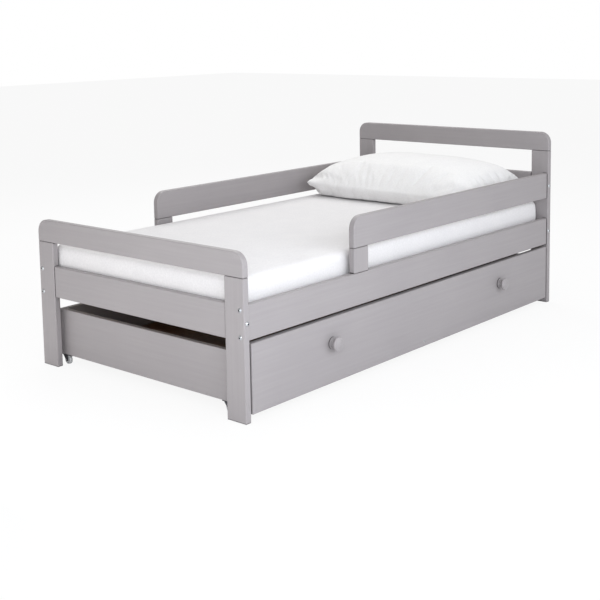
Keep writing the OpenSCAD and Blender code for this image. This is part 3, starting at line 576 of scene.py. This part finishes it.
def make_pillow():
    """Filled pillow in its case: lumpy on top, and pressed flat where it lies on the mattress."""
    low, high = (Vector(c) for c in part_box("pillow"))
    mesh, seam = pillow_envelope(low, high)
    made = object_from("pillow_in_case", mesh)
    fill_with_cloth(made, seam)
    sew_ridge(made, seam, (low + high) / 2)
    press_from = low.z + PILLOW_CLEAR + PRESS_DEPTH
    for vert in made.data.vertices:
        lump = bumps(vert.co, *FILLING_LUMPS)
        above = smooth_step(vert.co.z, low.z + SEAM_RISE, high.z)
        vert.co.z += LUMP_HEIGHT * lump * above
        if vert.co.z < press_from:
            drop = press_from - vert.co.z
            vert.co.z = low.z + PILLOW_CLEAR + PRESS_DEPTH * math.exp(-drop / PRESS_DEPTH)
        vert.co.x = min(max(vert.co.x, low.x), high.x)
    case = washed_cotton("washed_percale_cotton", CASE_THREAD, "#eae9e8", "#f1f0ef")
    dress(made, "pillow", case)


# ---- Camera, lights and floor ----

# Angles in degrees. The heading turns from +Y towards +X.
LENS_MM = 65.77
SENSOR_MM = 36
CAMERA_AT = Vector((-2.4728, -2.0701, 0.9082))
CAMERA_HEADING = 49.035
CAMERA_PITCH = -7.295
CAMERA_ROLL = -0.96
CAMERA_SHIFT_Y = -0.22
FARTHEST_SEEN = 60
DAYLIGHT = (0.93, 0.97, 1.03)
LAMP_WHITE = (1, 1, 1)
STUDIO_FILL = 0.46
FLOOR_HALF = 14.0
# Share of the floor's brightness towards the camera that is its own even glow.
FLOOR_GLOW = 0.9


def place_camera():
    """A long lens off the foot end's near corner, looking slightly down, with some shift."""
    heading, pitch, roll = (math.radians(a) for a in (CAMERA_HEADING, CAMERA_PITCH, CAMERA_ROLL))
    level = math.cos(pitch)
    ahead = Vector((math.sin(heading) * level, math.cos(heading) * level, math.sin(pitch)))
    right = Vector((math.cos(heading), -math.sin(heading), 0))
    up = right.cross(ahead)
    tilted_right = math.cos(roll) * right + math.sin(roll) * up
    tilted_up = math.cos(roll) * up - math.sin(roll) * right
    turned = Matrix((tilted_right, tilted_up, -ahead)).transposed().to_4x4()
    data = bpy.data.cameras.new("camera")
    data.sensor_width = SENSOR_MM
    data.lens = LENS_MM
    data.shift_y = CAMERA_SHIFT_Y
    data.clip_end = FARTHEST_SEEN
    camera = bpy.data.objects.new("camera", data)
    camera.matrix_world = Matrix.Translation(CAMERA_AT) @ turned
    bpy.context.scene.collection.objects.link(camera)
    bpy.context.scene.camera = camera


def softbox(name, at, aim, size, watts, tint):
    """Rectangular area light at one place, turned to face another, that isn't seen itself."""
    data = bpy.data.lights.new(name, "AREA")
    data.shape = "RECTANGLE"
    data.size, data.size_y = size
    data.energy = watts
    data.color = tint
    box = bpy.data.objects.new(name, data)
    box.location = at
    box.rotation_mode = "QUATERNION"
    box.rotation_quaternion = (Vector(aim) - Vector(at)).to_track_quat("-Z", "Y")
    box.visible_camera = False
    bpy.context.scene.collection.objects.link(box)


def light_studio():
    """Soft boxes all round, in an even white room that lights less than it shows. Those at the foot and
    the drawer's side stand close to the bed, so that the head end falls into shade."""
    softbox("top_softbox", (-0.1, 0.1, 2.6), (0, 0, 0.3), (2.4, 1.8), 18, LAMP_WHITE)
    softbox("drawer_side_softbox", (-0.05, -1.5, 0.6), (-0.05, 0, 0.3), (1.5, 1.0), 5.2, DAYLIGHT)
    softbox("foot_softbox", (-1.3, 0.15, 0.3), (0, 0.1, 0.25), (1.3, 0.5), 2.6, LAMP_WHITE)
    softbox("foot_corner_softbox", (-1.3, -1.15, 0.72), (-0.5, -0.2, 0.3), (0.9, 0.7), 7.8, DAYLIGHT)
    softbox("wide_softbox", (-0.2, -3.2, 1.3), (0, 0, 0.3), (3.0, 1.6), 27, DAYLIGHT)
    softbox("head_softbox", (2.2, -1.2, 1.2), (0.3, 0, 0.3), (1.2, 1.0), 2.0, LAMP_WHITE)
    softbox("back_softbox", (1.2, 1.8, 2.2), (0.2, 0, 0.3), (2.0, 1.2), 27, LAMP_WHITE)
    world = bpy.data.worlds.new("studio")
    world.use_nodes = True
    tree = world.node_tree
    tree.nodes.clear()
    ray = add(tree, "ShaderNodeLightPath")
    fill = add(tree, "ShaderNodeBackground", inputs={"Color": WHITE, "Strength": STUDIO_FILL})
    seen = add(tree, "ShaderNodeBackground", inputs={"Color": WHITE, "Strength": 1.0})
    both = add(tree, "ShaderNodeMixShader", inputs={
        0: ray.outputs["Is Camera Ray"], 1: fill.outputs[0], 2: seen.outputs[0]})
    add(tree, "ShaderNodeOutputWorld", inputs={"Surface": both.outputs[0]})
    bpy.context.scene.world = world
    bpy.context.scene.view_settings.view_transform = "Standard"


def white_sweep():
    """Matt white studio paper, lit evenly enough that only soft shadows show on it."""
    made, tree, coords = new_material("white_sweep")
    cloud = add(tree, "ShaderNodeTexNoise", inputs={"Vector": coords, "Scale": 3.0, "Detail": 2.0})
    colour = add(tree, "ShaderNodeValToRGB", inputs={"Fac": cloud.outputs["Fac"]}, stops=[
        (0.3, linear("#efefef")), (0.7, linear("#f1f1f2"))])
    matt = add(tree, "ShaderNodeBsdfPrincipled", inputs={
        "Base Color": colour.outputs["Color"], "Roughness": 0.9})
    glow = add(tree, "ShaderNodeEmission", inputs={"Color": WHITE, "Strength": 1.0})
    ray = add(tree, "ShaderNodeLightPath")
    share = add(tree, "ShaderNodeMath", {"operation": "MULTIPLY"}, {
        0: ray.outputs["Is Camera Ray"], 1: FLOOR_GLOW})
    shader = add(tree, "ShaderNodeMixShader", inputs={
        0: share.outputs[0], 1: matt.outputs["BSDF"], 2: glow.outputs[0]})
    add(tree, "ShaderNodeOutputMaterial", inputs={"Surface": shader.outputs[0]})
    return made


def pale_floor():
    """Square of floor round the bed, larger than any view shows."""
    corners = [(x * FLOOR_HALF, y * FLOOR_HALF, 0) for x, y in ((-1, -1), (1, -1), (1, 1), (-1, 1))]
    mesh = bpy.data.meshes.new("floor")
    mesh.from_pydata(corners, [], [(0, 1, 2, 3)])
    mesh.materials.append(white_sweep())
    floor = bpy.data.objects.new("floor", mesh)
    bpy.context.scene.collection.objects.link(floor)


# ---- Assembly ----

place_camera()
finish_frame()
make_mattress()
make_pillow()
light_studio()
pale_floor()
